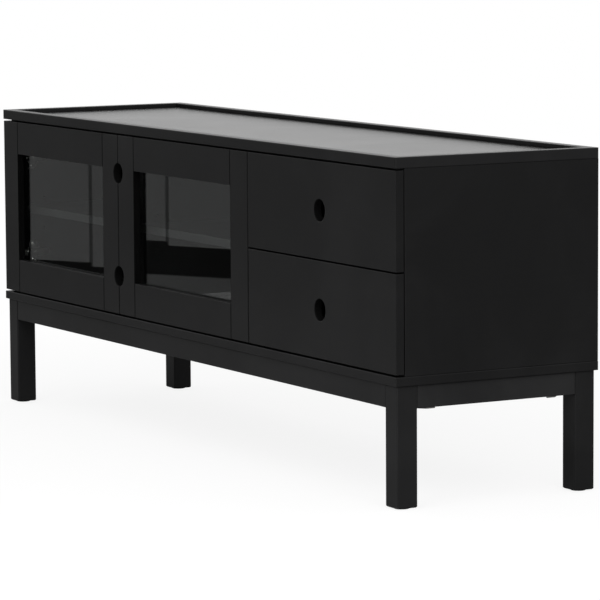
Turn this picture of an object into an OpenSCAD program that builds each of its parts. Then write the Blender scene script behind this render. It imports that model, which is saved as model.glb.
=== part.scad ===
// Media cabinet: two framed glass doors and a stack of two drawers under a tray top, on a leg frame.
// Millimetres, +Z up, front towards -Y. The origin is on the floor, under the middle of the cabinet.

/* [Overall] */
// Width over the top
cabinet_w = 1560; // [1380:20:1740]
// Depth over the top
cabinet_d = 410; // [380:5:460]
// Height from the floor to the top of the rim
cabinet_h = 600; // [560:5:660]

/* [Tray top] */
// Height of the rim rails
rim_h = 19; // [16:1:26]
// Width of the rim rails
rim_w = 20; // [16:1:30]
// How far the tray floor lies below the rim
tray_depth = 8; // [4:1:11]
// How far the rim laps over the tongue of the tray floor
rim_lap = 8; // [5:1:12]
// Rounding of the rim's edges
rim_r = 1.5; // [0.8:0.1:2.5]
// Rounding of the rim's four corners, seen from above
rim_corner_r = 3; // [2:0.5:6]

/* [Boards] */
// Thickness of the side panels
side_t = 18; // [15:1:22]
// Thickness of the upright between the glass bays
partition_t = 18; // [15:1:22]
// Thickness of the upright between the glass bays and the drawers
divider_t = 18; // [16:1:22]
// Thickness of the base slab
slab_t = 16; // [14:1:22]
// Thickness of the shelves
shelf_t = 16; // [12:1:22]
// Thickness of the back panels
back_t = 4; // [3:0.5:6]
// How far the back panels reach into their rebates
back_lap = 9; // [6:1:12]
// How far the back panels lie in from the back edge
back_inset = 1; // [0.5:0.5:2]
// Height of the rails under the top
top_rail_h = 38; // [30:1:44]
// Thickness of the rails under the top
top_rail_t = 16; // [12:1:20]
// How far the side panels stand in from the edge of the top
side_inset = 1; // [0.5:0.5:4]
// Set-back of the partition behind the doors, to leave room for fingers
partition_back = 34; // [26:2:60]
// Set-back of the shelves behind the doors
shelf_back = 20; // [16:2:60]
// Height of the shelves above the slab
shelf_up = 162; // [130:16:194]
// Gap at each end of a shelf
shelf_fit = 1; // [0.5:0.5:2]
// Rounding of the boards' edges
edge_r = 1; // [0.5:0.1:1.5]

/* [Fronts] */
// Thickness of the doors and drawer fronts
front_t = 16; // [16:1:18]
// How far the fronts stand in from the edges of the top
front_inset = 1; // [0.5:0.5:3]
// Gap between neighbouring fronts
front_gap = 3; // [2.5:0.5:4]
// Gap above and below the fronts
reveal = 3.5; // [3:0.5:5]
// Gap between the closed fronts and the carcass
closing_gap = 1.5; // [1.4:0.1:2]
// Diameter of the finger holes
finger_d = 39; // [34:1:44]
// Chamfer at the mouths of the finger holes
finger_chamfer = 1; // [0.5:0.1:2]

/* [Doors] */
// Width of the door stiles
stile_w = 65; // [60:1:80]
// Width of the door rails
door_rail_w = 65; // [52:1:74]
// Thickness of the glass
glass_t = 3; // [3:0.5:5]
// Width of the rebate for the glass
glass_lap = 8; // [6:1:12]
// Clearance round the glass
glass_fit = 0.5; // [0.3:0.1:1]
// Thickness of the tenons
tenon_t = 7; // [5:0.5:8]
// Length of the tenons
tenon_l = 14; // [10:1:18]
// Shoulder above and below each tenon
tenon_shoulder = 12; // [8:1:16]
// Height of the finger holes from the ends of the doors
finger_end = 73.5; // [68:0.5:80]

/* [Door hinges] */
// Height of the hinges from the ends of the doors
hinge_end = 76; // [60:2:110]
// Distance of the hinge cup's centre from the door's edge
cup_edge = 22.5; // [21.5:0.5:24]
// Diameter of the hinge cup
cup_d = 35; // [34.6:0.1:35.4]
// Depth of the hinge cup
cup_depth = 12.5; // [12:0.1:13]
// Width of the hinge arm
arm_w = 14; // [12:1:18]
// Diameter of the hinge pin
pin_d = 2.6; // [2.4:0.1:2.8]
// Radial clearance of the hinge pin in its link
pin_fit = 0.05; // [0.02:0.01:0.1]
// Opening of the doors, for the drawing
door_open = 0; // [0:1:90]

/* [Drawers] */
// Height of the drawer box
box_h = 116; // [90:2:122]
// Length of the drawer box
box_l = 350; // [320:5:360]
// Thickness of the drawer's sides and back
box_t = 12; // [10:1:15]
// Thickness of the drawer's bottom
bottom_t = 4; // [3:0.5:6]
// Depth of the grooves for the bottom
groove_depth = 6; // [4:0.5:7]
// Height of the bottom above the lower edge of the sides
bottom_up = 11; // [8:1:16]
// Height of the box's lower edge above the lower edge of its front
box_up = 12; // [8:1:16]
// Space for a runner on each side of the box
runner_space = 13; // [12.8:0.1:14]
// Height of the runners
runner_h = 45; // [40:1:48]
// Thickness of the runners' steel
runner_steel = 1.2; // [1:0.1:1.4]
// Gap between the runners' nested members
runner_play = 0.6; // [0.4:0.1:0.8]
// How far the drawers pull out
drawer_travel = 320; // [250:10:320]
// Opening of the drawers, for the drawing
drawer_open = 0; // [0:10:320]

/* [Leg frame] */
// Height of the underside of the slab above the floor
stand_h = 212; // [150:2:260]
// Side of the square legs
leg_w = 40; // [36:1:60]
// Set-back of the legs from the edges of the slab
leg_inset = 5; // [3:1:30]
// Rounding of the legs' upright edges
leg_r = 2.5; // [1:0.5:5]
// Chamfer round the foot of each leg
leg_chamfer = 2.5; // [1:0.5:4]
// Height of the aprons
apron_h = 40; // [34:1:70]
// Thickness of the aprons
apron_t = 18; // [15:1:24]
// Set-back of the aprons from the legs' faces
apron_back = 0.5; // [0.5:0.5:4]
// Height of the glides under the legs
glide_h = 2; // [1.5:0.5:4]
// Diameter of the glides
glide_d = 26; // [20:1:30]
// Thickness of the corner braces' steel
brace_t = 2.5; // [2:0.5:3]
// How far the corner braces hang below the aprons
brace_drop = 5; // [0:1:8]

/* [Hidden] */
$fn = 48;

// Finishes
paint = [0.14, 0.14, 0.145];
inside_paint = [0.17, 0.17, 0.175];
board_brown = [0.42, 0.33, 0.24];
box_grey = [0.55, 0.55, 0.55];
steel = [0.66, 0.67, 0.69];
plastic = [0.10, 0.10, 0.10];
glass_tint = [0.55, 0.62, 0.64, 0.35];

// Levels
slab_top = stand_h + slab_t;
under_top = cabinet_h - rim_h;
upright_h = under_top - slab_top;
front_z0 = slab_top + reveal;
front_z1 = under_top - reveal;
front_h = front_z1 - front_z0;
panel_t = rim_h - tray_depth;
tongue_t = panel_t * 0.6;
field_gap = 0.5;

// Across the width: three equal bays
edge_x = cabinet_w / 2 - front_inset - 0.5;
bay_pitch = cabinet_w / 3;
meet_x = -bay_pitch / 2;
divider_x = bay_pitch / 2;
door_x0 = -edge_x;
door_w = meet_x - front_gap / 2 - door_x0;
drawer_x0 = divider_x + front_gap / 2;
drawer_w = edge_x - drawer_x0;
side_in_x = cabinet_w / 2 - side_inset - side_t;
partition_x = meet_x;

// Through the depth
face_y = -cabinet_d / 2 + front_inset;
front_back_y = face_y + front_t;
carcass_y = front_back_y + closing_gap;
rear_y = cabinet_d / 2;
back_face_y = rear_y - back_t - back_inset;

// Doors
window_w = door_w - 2 * stile_w;
window_h = front_h - 2 * door_rail_w;
pane_back = front_t - glass_t;
hinge_z = [front_z0 + hinge_end, front_z1 - hinge_end];
finger_z = [front_z0 + finger_end, front_z1 - finger_end];

// Hinge linkage, measured from the door's outer edge and its front face
axis_in = 1;
axis_deep = 2;
nose_in = 36;
nose_up = 2;
link_l = 29;
link_rest = 14;
link_turn = 0.32;
link_bend_at = 11.6;
link_bend = 3;
link_t = 1.5;
link_w = 5;
link_eye = 0.65;
cup_wall = 0.9;
cup_floor = 1.5;
flange_t = 1;
plate_t = 5;
plate_l = 24;
plate_back = 26;
wing_t = 2;
wing_r = 8;
wing_pitch = 32;
arm_t = 9;
arm_l = 62;
arm_wall = 1.2;
arm_nose_l = 14;
arm_fit = 0.3;
ear_t = 1.2;
ear_gap = 0.3;
ear_r = pin_d / 2 + 0.7;
screw_r = 3.5;

// Shelves
shelf_z = slab_top + shelf_up;
shelf_pin_r = 2.5;
shelf_pin_hole = 8;
shelf_pin_out = 9;
pin_pitch = 32;
pin_y = [carcass_y + max(shelf_back, partition_back) + 30, back_face_y - 45];

// Drawers
drawer_h = (front_h - front_gap) / 2;
drawer_z = [front_z0, front_z0 + drawer_h + front_gap];
bay_x0 = divider_x + divider_t / 2;
box_x0 = bay_x0 + runner_space;
box_x1 = side_in_x - runner_space;
box_w = box_x1 - box_x0;
runner_y0 = carcass_y + 2;
runner_l = box_l - 4;
runner_up = 34;

// Leg frame
leg_z0 = glide_h;
apron_z0 = stand_h - apron_h;
frame_x = cabinet_w / 2 - leg_inset;
frame_y = cabinet_d / 2 - leg_inset;
apron_in = apron_back + apron_t;
brace_clear = 6;
brace_run = 2 * leg_w - apron_in + brace_clear * sqrt(2);
brace_flange = 16;
apron_dowel_r = 3;
apron_dowel_in = 15;
apron_dowel_pitch = 20;
bolt_r = 4;
bolt_z = apron_z0 + apron_h / 2;

// ---------- shared shapes ----------

// Rectangle with round corners, from its lower left corner
module round_rect(w, h, r) {
  translate([r, 0]) square([w - 2 * r, h]);
  translate([0, r]) square([w, h - 2 * r]);
  for (x = [r, w - r], y = [r, h - r]) translate([x, y]) circle(r, $fn = 24);
}

// Board with every edge rounded, from its lower front left corner
module eased_board(s, r = edge_r) {
  intersection() {
    linear_extrude(s.z) round_rect(s.x, s.y, r);
    translate([0, s.y, 0]) rotate([90, 0, 0]) linear_extrude(s.y) round_rect(s.x, s.z, r);
    rotate([90, 0, 90]) linear_extrude(s.x) round_rect(s.y, s.z, r);
  }
}

// Cylinder along Y, from y = 0 towards the back
module rod_y(r, l) rotate([-90, 0, 0]) cylinder(r = r, h = l);

// Cylinder along X, from x = 0 to the right
module rod_x(r, l) rotate([0, 90, 0]) cylinder(r = r, h = l);

// Copies to the other side of the line on which the doors meet
module to_right_door() translate([2 * meet_x, 0, 0]) mirror([1, 0, 0]) children();

// Turns what rides on a door about its axis, in the left door's place
module swing(angle = door_open) {
  axis = [door_x0 + axis_in, face_y + axis_deep, 0];
  translate(axis) rotate([0, 0, -angle]) translate(-axis) children();
}

// ---------- tray top ----------

module rim_profile() {
  difference() {
    round_rect(rim_w, rim_h, rim_r);
    translate([rim_w - rim_lap, -1]) square([rim_lap + 1, tongue_t + 1]);
  }
}

// Rim rail of length l along X with mitred ends, its outer face on y = 0
module rim_rail(l) {
  intersection() {
    rotate([90, 0, 90]) linear_extrude(l) rim_profile();
    linear_extrude(rim_h) polygon([[0, 0], [l, 0], [l - rim_w, rim_w], [rim_w, rim_w]]);
  }
}

// Keeps a rail inside the top's rounded outline
module rim_outline() {
  intersection() {
    translate([-cabinet_w / 2, -cabinet_d / 2, under_top])
      linear_extrude(rim_h) round_rect(cabinet_w, cabinet_d, rim_corner_r);
    children();
  }
}

module top_rim_front() color(paint) rim_outline()
  translate([-cabinet_w / 2, -cabinet_d / 2, under_top]) rim_rail(cabinet_w);

module top_rim_back() color(paint) rim_outline()
  translate([cabinet_w / 2, cabinet_d / 2, under_top]) rotate([0, 0, 180]) rim_rail(cabinet_w);

module top_rim_left() color(paint) rim_outline()
  translate([-cabinet_w / 2, cabinet_d / 2, under_top]) rotate([0, 0, 270]) rim_rail(cabinet_d);

module top_rim_right() color(paint) rim_outline()
  translate([cabinet_w / 2, -cabinet_d / 2, under_top]) rotate([0, 0, 90]) rim_rail(cabinet_d);

// Slab of the top, its edges the distance in from the top's edges, from z0 to z1 above the rim's underside
module top_layer(in, z0, z1) {
  translate([-cabinet_w / 2 + in, -cabinet_d / 2 + in, under_top + z0])
    cube([cabinet_w - 2 * in, cabinet_d - 2 * in, z1 - z0]);
}

// Tray floor: a tongue all round that the rim laps over, and the field raised inside the rim
module top_panel() color(paint) {
  top_layer(rim_w - rim_lap, 0, tongue_t);
  top_layer(rim_w + field_gap, tongue_t / 2, panel_t);
}

// ---------- carcass ----------

dowel_r = 4;
dowel_down = 11;
dowel_up = 19;
dowel_inset = 66;
dowel_y = [carcass_y + dowel_inset, back_face_y - dowel_inset];
upright_x = [-side_in_x - side_t / 2, partition_x, divider_x, side_in_x + side_t / 2];

module dowel_set(r) {
  for (x = upright_x, y = dowel_y)
    translate([x, y, slab_top - dowel_down]) cylinder(r = r, h = dowel_down + dowel_up, $fn = 32);
}

// Pairs of dowels from a leg into both its aprons
module corner_dowels(r) {
  mid = apron_back + apron_t / 2;
  for (z = [-1, 1] * apron_dowel_pitch / 2) {
    translate([leg_w - apron_dowel_in, mid, bolt_z + z]) rod_x(r, 2 * apron_dowel_in, $fn = 32);
    translate([mid, leg_w - apron_dowel_in, bolt_z + z]) rod_y(r, 2 * apron_dowel_in, $fn = 32);
  }
}

module apron_dowel_set(r) for (sx = [-1, 1], sy = [-1, 1]) at_corner(sx, sy) corner_dowels(r);

module dowels() color([0.72, 0.58, 0.40]) {
  dowel_set(dowel_r);
  apron_dowel_set(apron_dowel_r);
}

// Blind holes for shelf pins, on the face x and into the board towards dir
module pin_holes(x, dir) {
  for (y = pin_y, step = [-1, 0, 1])
    translate([x, y, shelf_z - shelf_pin_r + step * pin_pitch])
      mirror([dir < 0 ? 1 : 0, 0, 0]) translate([-1, 0, 0]) rod_x(shelf_pin_r, shelf_pin_hole + 1);
}

// Side panel on the right, with the rebate for the back panel
module side_board() {
  difference() {
    translate([side_in_x, carcass_y, slab_top]) eased_board([side_t, rear_y - carcass_y, upright_h]);
    translate([side_in_x - 1, back_face_y, slab_top - 1])
      cube([back_lap + 1, rear_y - back_face_y + 1, upright_h + 2]);
    dowel_set(dowel_r);
  }
}

module side_right() color(paint) side_board();

module side_left() color(paint) difference() {
  mirror([1, 0, 0]) side_board();
  pin_holes(-side_in_x, -1);
}

module partition() color(inside_paint) {
  y0 = carcass_y + partition_back;
  difference() {
    translate([partition_x - partition_t / 2, y0, slab_top])
      eased_board([partition_t, back_face_y - y0, upright_h]);
    translate([partition_x - partition_t / 2 - 1, back_face_y - top_rail_t, under_top - top_rail_h])
      cube([partition_t + 2, top_rail_t + 1, top_rail_h + 1]);
    pin_holes(partition_x - partition_t / 2, 1);
    pin_holes(partition_x + partition_t / 2, -1);
    dowel_set(dowel_r);
  }
}

module divider() color(inside_paint) difference() {
  translate([divider_x - divider_t / 2, carcass_y, slab_top])
    eased_board([divider_t, back_face_y - carcass_y, upright_h]);
  pin_holes(divider_x - divider_t / 2, 1);
  dowel_set(dowel_r);
}

module base_slab() color(paint) difference() {
  translate([-cabinet_w / 2, -cabinet_d / 2, stand_h]) eased_board([cabinet_w, cabinet_d, slab_t], rim_r);
  dowel_set(dowel_r);
}

// Rails under the top: one in front of and one behind each bay, the glass bays' in one length
module top_rails() color(inside_paint) {
  z0 = under_top - top_rail_h;
  left_l = divider_x - divider_t / 2 + side_in_x;
  right_l = side_in_x - bay_x0;
  for (y = [carcass_y, back_face_y - top_rail_t]) {
    translate([-side_in_x, y, z0]) cube([left_l, top_rail_t, top_rail_h]);
    translate([bay_x0, y, z0]) cube([right_l, top_rail_t, top_rail_h]);
  }
}

outlet_w = 110;
outlet_h = 50;
outlet_up = 70;
outlet_z = slab_top + outlet_up;
outlet_x = [(-side_in_x + partition_x) / 2, (partition_x + divider_x) / 2];

module back_panel_left() color(board_brown) difference() {
  translate([-side_in_x - back_lap, back_face_y, slab_top])
    cube([divider_x + side_in_x + back_lap, back_t, upright_h]);
  for (x = outlet_x) {
    translate([x - outlet_w / 2 + outlet_h / 2, back_face_y - 1, outlet_z - outlet_h / 2])
      cube([outlet_w - outlet_h, back_t + 2, outlet_h]);
    for (s = [-1, 1]) translate([x + s * (outlet_w - outlet_h) / 2, back_face_y - 1, outlet_z])
      rod_y(outlet_h / 2, back_t + 2);
  }
}

module back_panel_right() color(board_brown)
  translate([divider_x, back_face_y, slab_top]) cube([side_in_x + back_lap - divider_x, back_t, upright_h]);

module shelves() color(inside_paint) {
  y0 = carcass_y + shelf_back;
  l = back_face_y - 2 - y0;
  bays = [[-side_in_x, partition_x - partition_t / 2],
          [partition_x + partition_t / 2, divider_x - divider_t / 2]];
  for (bay = bays) translate([bay[0] + shelf_fit, y0, shelf_z])
    eased_board([bay[1] - bay[0] - 2 * shelf_fit, l, shelf_t]);
}

module shelf_pins() color(steel) {
  spots = [[-side_in_x, -1], [partition_x - partition_t / 2, 1],
           [partition_x + partition_t / 2, -1], [divider_x - divider_t / 2, 1]];
  for (s = spots, y = pin_y) translate([s[0], y, shelf_z - shelf_pin_r])
    mirror([s[1] < 0 ? 0 : 1, 0, 0]) translate([-shelf_pin_hole, 0, 0])
      rod_x(shelf_pin_r, shelf_pin_hole + shelf_pin_out);
}

bumper_r = 4;
bumper_t = closing_gap - 0.3;

// Soft dots that the closed fronts come to rest against
module bumpers() color(plastic) {
  rail_z = under_top - top_rail_h / 2;
  for (x = [meet_x - 25, meet_x + 25]) translate([x, carcass_y - bumper_t, rail_z]) rod_y(bumper_r, bumper_t);
  for (x = [divider_x + divider_t / 4 + 1, side_in_x + side_t / 2], z = drawer_z)
    translate([x, carcass_y - bumper_t, z + drawer_h - 20]) rod_y(3, bumper_t);
}

// ---------- leg frame ----------

leg_h = stand_h - leg_z0;

// Leg at the frame's corner, its outer corner at the origin
module leg() {
  side = [[0, leg_chamfer], [leg_chamfer, 0], [leg_w - leg_chamfer, 0],
          [leg_w, leg_chamfer], [leg_w, leg_h], [0, leg_h]];
  intersection() {
    linear_extrude(leg_h) round_rect(leg_w, leg_w, leg_r);
    translate([0, leg_w, 0]) rotate([90, 0, 0]) linear_extrude(leg_w) polygon(side);
    rotate([90, 0, 90]) linear_extrude(leg_w) polygon(side);
  }
}

// Puts a corner's pieces, drawn for the front left corner, into the corner towards sx, sy
module at_corner(sx, sy) {
  mirror([sx > 0 ? 1 : 0, 0, 0]) mirror([0, sy > 0 ? 1 : 0, 0]) translate([-frame_x, -frame_y, 0]) children();
}

glide_stem_r = 3;
glide_stem_l = 14;
bolt_in_leg = 26;

bolt_out = 14;
washer_r = 9;
washer_t = 1.6;
nut_r = 7.5;
nut_t = 6.5;
brace_web = brace_clear + brace_t;

// Shank of a hanger bolt or its bore, from the leg through the brace
module brace_bolt_rod(r) {
  translate([leg_w, leg_w, bolt_z]) rotate([0, 0, 45])
    translate([-bolt_in_leg, 0, 0]) rod_x(r, bolt_in_leg + brace_web + bolt_out);
}

module placed_leg(sx, sy) color(paint) at_corner(sx, sy) difference() {
  translate([0, 0, leg_z0]) leg();
  translate([leg_w / 2, leg_w / 2, leg_z0 - 1]) cylinder(r = glide_stem_r, h = glide_stem_l + 1);
  brace_bolt_rod(bolt_r);
  corner_dowels(apron_dowel_r);
}

module leg_front_left() placed_leg(-1, -1);
module leg_front_right() placed_leg(1, -1);
module leg_back_left() placed_leg(-1, 1);
module leg_back_right() placed_leg(1, 1);

// Apron along X of the front, from leg to leg
module long_apron() {
  l = 2 * (frame_x - leg_w);
  difference() {
    translate([-l / 2, -frame_y + apron_back, apron_z0]) eased_board([l, apron_t, apron_h]);
    apron_dowel_set(apron_dowel_r);
  }
}

// Apron along Y of the left side, from leg to leg
module short_apron() {
  l = 2 * (frame_y - leg_w);
  difference() {
    translate([-frame_x + apron_back, -l / 2, apron_z0]) eased_board([apron_t, l, apron_h]);
    apron_dowel_set(apron_dowel_r);
  }
}

module apron_front() color(paint) long_apron();
module apron_back_rail() color(paint) mirror([0, 1, 0]) long_apron();
module apron_left() color(paint) short_apron();
module apron_right() color(paint) mirror([1, 0, 0]) short_apron();

// Plan of a bent steel brace across a corner of the frame
module brace_plan() {
  a = apron_in;
  b = brace_run;
  e = brace_run + brace_flange;
  t = brace_t;
  k = t * (sqrt(2) - 1);
  polygon([[e, a], [b, a], [a, b], [a, e], [a + t, e], [a + t, b + k], [b + k, a + t], [e, a + t]]);
}

brace_z0 = apron_z0 - brace_drop;
brace_h = apron_h + brace_drop - 3;
brace_screw_in = 10;

// Heads of the screws through a brace's two flanges, into the aprons
module brace_screws() {
  along = brace_run + brace_flange / 2;
  seat = apron_in + brace_t;
  for (z = [brace_z0 + brace_screw_in, brace_z0 + brace_h - brace_screw_in]) {
    translate([along, seat, z]) rod_y(screw_r, 1);
    translate([seat, along, z]) rod_x(screw_r, 1);
  }
}

module corner_braces() color(steel)
  for (sx = [-1, 1], sy = [-1, 1]) at_corner(sx, sy) {
    difference() {
      translate([0, 0, brace_z0]) linear_extrude(brace_h) brace_plan();
      brace_bolt_rod(bolt_r + 0.5);
    }
    brace_screws();
  }

// Hanger bolts from the legs' inner corners through the braces, each with a washer and a hexagon nut
module brace_bolts() color(steel)
  for (sx = [-1, 1], sy = [-1, 1]) at_corner(sx, sy) {
    brace_bolt_rod(bolt_r);
    translate([leg_w, leg_w, bolt_z]) rotate([0, 0, 45]) translate([brace_web, 0, 0]) {
      rod_x(washer_r, washer_t);
      translate([washer_t, 0, 0]) rotate([0, 90, 0]) cylinder(r = nut_r, h = nut_t, $fn = 6);
    }
  }

module leg_glides() color(plastic)
  for (sx = [-1, 1], sy = [-1, 1]) at_corner(sx, sy) translate([leg_w / 2, leg_w / 2, 0]) {
    cylinder(d = glide_d, h = glide_h);
    cylinder(r = glide_stem_r, h = leg_z0 + glide_stem_l);
  }

// ---------- doors, drawn for the left one ----------

// Chamfered hole right through a front, on the axis x, z
module finger_hole(x, z) {
  r = finger_d / 2;
  c = finger_chamfer;
  translate([x, face_y, z]) {
    translate([0, -1, 0]) rod_y(r, front_t + 2);
    rotate([-90, 0, 0]) translate([0, 0, -0.01]) cylinder(r1 = r + c, r2 = r, h = c);
    translate([0, front_t + 0.01, 0]) rotate([90, 0, 0]) cylinder(r1 = r + c, r2 = r, h = c);
  }
}

// Rebate for the glass, cut from the back of the frame
module glass_rebate() {
  translate([door_x0 + stile_w - glass_lap, face_y + pane_back, front_z0 + door_rail_w - glass_lap])
    cube([window_w + 2 * glass_lap, glass_t + 1, window_h + 2 * glass_lap]);
}

module tenons(fit = 0) {
  z0 = [front_z0, front_z1 - door_rail_w];
  for (z = z0) translate([door_x0 + stile_w - tenon_l, face_y + pane_back - tenon_t - 2, z + tenon_shoulder])
    cube([window_w + 2 * tenon_l, tenon_t, door_rail_w - 2 * tenon_shoulder]);
}

module stile_blank(x) translate([x, face_y, front_z0]) eased_board([stile_w, front_t, front_h]);

module hinge_stile() color(paint) difference() {
  stile_blank(door_x0);
  glass_rebate();
  tenons();
  for (z = hinge_z) translate([door_x0 + cup_edge, front_back_y - cup_depth, z])
    rod_y(cup_d / 2, cup_depth + 1);
}

module meeting_stile() color(paint) difference() {
  stile_blank(door_x0 + door_w - stile_w);
  glass_rebate();
  tenons();
  for (z = finger_z) finger_hole(meet_x, z);
}

module door_rail(z) color(paint) difference() {
  union() {
    translate([door_x0 + stile_w, face_y, z]) eased_board([window_w, front_t, door_rail_w], 0.5);
    intersection() {
      tenons();
      translate([door_x0, face_y, z]) cube([door_w, front_t, door_rail_w]);
    }
  }
  glass_rebate();
}

module door_glass() color(glass_tint) {
  g = glass_lap - glass_fit;
  translate([door_x0 + stile_w - g, face_y + pane_back, front_z0 + door_rail_w - g])
    cube([window_w + 2 * g, glass_t, window_h + 2 * g]);
}

clip_t = 1.6;
clip_w = 14;
clip_over = 6;
clip_out = 12;
clip_inset = 50;
clip_spread = 80;

// Small clips that hold the glass in its rebate from behind, each with its screw
module glass_clips() color(plastic) {
  x0 = door_x0 + stile_w - glass_lap;
  x1 = x0 + window_w + 2 * glass_lap;
  z0 = front_z0 + door_rail_w - glass_lap;
  z1 = z0 + window_h + 2 * glass_lap;
  mid_x = (x0 + x1) / 2;
  for (p = [[x0, z0 + clip_inset, 180], [x0, z1 - clip_inset, 180],
            [x1, z0 + clip_inset, 0], [x1, z1 - clip_inset, 0],
            [mid_x - clip_spread, z0, 90], [mid_x + clip_spread, z0, 90],
            [mid_x - clip_spread, z1, 270], [mid_x + clip_spread, z1, 270]])
    translate([p[0], front_back_y, p[1]]) rotate([0, p[2], 0]) {
      translate([-clip_over, 0, -clip_w / 2]) cube([clip_over + clip_out, clip_t, clip_w]);
      translate([clip_out / 2, clip_t, 0]) rod_y(screw_r, 1);
    }
}

// Pressed steel cup with its flange and two screws
module hinge_cup() {
  r = cup_d / 2;
  translate([0, front_back_y - cup_depth, 0]) rotate([-90, 0, 0])
    rotate_extrude() difference() {
      union() {
        square([r, cup_depth]);
        translate([0, cup_depth]) square([r + 2, flange_t]);
      }
      translate([-1, cup_floor]) square([r - cup_wall + 1, cup_depth + flange_t]);
    }
  for (s = [-1, 1]) difference() {
    translate([-3, front_back_y, s > 0 ? 0 : -r - 14]) cube([14, flange_t, r + 14]);
    translate([0, front_back_y - 1, 0]) rod_y(r + 1, flange_t + 2);
  }
  for (s = [-1, 1]) translate([4, front_back_y + flange_t, s * (r + 8)]) rod_y(screw_r, 1);
}

module hinge_cups() color(steel) for (z = hinge_z) translate([door_x0 + cup_edge, 0, z]) hinge_cup();

// Moves to the pin of the hinge at height z
module at_nose(z) translate([door_x0 + nose_in, front_back_y - nose_up, z]) children();

function unit(v) = v / norm(v);
function left_of(v) = [-v.y, v.x];

// Cranked strap from the pin into the cup, with an eye round the pin
module hinge_link() {
  bend = [-link_bend_at, -link_bend];
  tip = [-link_l, 0];
  h = link_t / 2;
  n1 = left_of(unit(bend)) * h;
  n2 = left_of(unit(tip - bend)) * h;
  mitre = (n1 + n2) / (1 + n1 * n2 / (h * h));
  translate([0, 0, -link_w / 2]) difference() {
    union() {
      cylinder(r = pin_d / 2 + pin_fit + link_eye, h = link_w);
      linear_extrude(link_w) polygon([n1, bend + mitre, tip + n2, tip - n2, bend - mitre, -n1]);
    }
    translate([0, 0, -1]) cylinder(r = pin_d / 2 + pin_fit, h = link_w + 2);
  }
}

module hinge_links() color(steel)
  for (z = hinge_z) at_nose(z) rotate([0, 0, link_rest + link_turn * door_open]) hinge_link();

// Winged mounting plate with the ridge that the arm sits over, its foot on x = 0 and its middle at y = z = 0
module hinge_plate() {
  ridge_w = arm_w - 2 * (arm_wall + arm_fit);
  ridge_t = plate_t + arm_t - arm_wall - arm_fit;
  translate([0, -plate_l / 2, -arm_w / 2 - 2]) cube([plate_t, plate_l, arm_w + 4]);
  translate([0, -plate_l / 2 + 2, -ridge_w / 2]) cube([ridge_t, plate_l - 4, ridge_w]);
  translate([0, -wing_r, -wing_pitch / 2]) cube([wing_t, 2 * wing_r, wing_pitch]);
  for (s = [-1, 1]) translate([0, 0, s * wing_pitch / 2]) {
    rod_x(wing_r, wing_t);
    rod_x(screw_r, wing_t + 1.5);
  }
}

// Hollow arm over the plate's ridge, open towards the plate, from its root at y = 0 towards the back
module hinge_arm_shell() {
  inner_w = arm_w - 2 * arm_wall;
  inner_t = arm_t - arm_wall;
  end_r = arm_w / 2;
  difference() {
    union() {
      translate([0, 0, -arm_w / 2]) cube([arm_t, arm_l - end_r, arm_w]);
      translate([0, arm_l - end_r, 0]) rod_x(end_r, arm_t);
    }
    translate([-1, arm_nose_l, -inner_w / 2]) cube([inner_t + 1, arm_l - end_r - arm_nose_l, inner_w]);
    translate([-1, arm_l - end_r, 0]) rod_x(end_r - arm_wall, inner_t + 1);
  }
}

// Arm, pin and mounting plate of one hinge, fixed to the board whose face lies face_in from the door's edge
module hinge_arm(face_in, z) {
  arm_x0 = door_x0 + face_in + plate_t;
  root_y = carcass_y + 8;
  plate_y = carcass_y + plate_back + plate_l / 2;
  ear_z = link_w / 2 + ear_gap;
  nose = [door_x0 + nose_in, front_back_y - nose_up];
  translate([door_x0 + face_in, plate_y, z]) hinge_plate();
  translate([arm_x0, root_y, z]) hinge_arm_shell();
  for (y = [plate_y, plate_y - plate_l / 2 - 4]) translate([arm_x0 + arm_t - arm_wall - arm_fit, y, z])
    rod_x(screw_r - 0.3, arm_wall + arm_fit + 1.2);
  for (s = [-1, 1]) translate([0, 0, z + (s > 0 ? ear_z : -ear_z - ear_t)]) linear_extrude(ear_t) {
    translate(nose) circle(r = ear_r, $fn = 24);
    polygon([[nose.x - ear_r, nose.y], [nose.x + ear_r, nose.y], [arm_x0 + arm_t, root_y + 12],
             [arm_x0, root_y + 12], [arm_x0, root_y]]);
  }
  at_nose(z) translate([0, 0, -ear_z - ear_t]) cylinder(d = pin_d, h = 2 * (ear_z + ear_t));
}

module hinge_arms(face_in) color(steel) for (z = hinge_z) hinge_arm(face_in, z);

left_face_in = edge_x - side_in_x;
right_face_in = divider_t / 2 - front_gap / 2;

module left_hinge_arms() hinge_arms(left_face_in);
module right_hinge_arms() to_right_door() hinge_arms(right_face_in);
module left_hinge_links() hinge_links();
module right_hinge_links() to_right_door() hinge_links();
module left_hinge_cups() swing() hinge_cups();
module right_hinge_cups() to_right_door() swing() hinge_cups();
module left_door_hinge_stile() swing() hinge_stile();
module left_door_meeting_stile() swing() meeting_stile();
module left_door_top_rail() swing() door_rail(front_z1 - door_rail_w);
module left_door_bottom_rail() swing() door_rail(front_z0);
module left_door_glass() swing() door_glass();
module left_door_clips() swing() glass_clips();
module right_door_hinge_stile() to_right_door() left_door_hinge_stile();
module right_door_meeting_stile() to_right_door() left_door_meeting_stile();
module right_door_top_rail() to_right_door() left_door_top_rail();
module right_door_bottom_rail() to_right_door() left_door_bottom_rail();
module right_door_glass() to_right_door() left_door_glass();
module right_door_clips() to_right_door() left_door_clips();

// ---------- drawers: k is 0 for the lower and 1 for the upper ----------

module pulled(share = 1) translate([0, -drawer_open * share, 0]) children();

function box_z(k) = drawer_z[k] + box_up;

// Space that the bottom fills, grooves included
module bottom_board(k) {
  translate([box_x0 + box_t - groove_depth, front_back_y - groove_depth, box_z(k) + bottom_up])
    cube([box_w - 2 * (box_t - groove_depth), box_l + groove_depth, bottom_t]);
}

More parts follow.
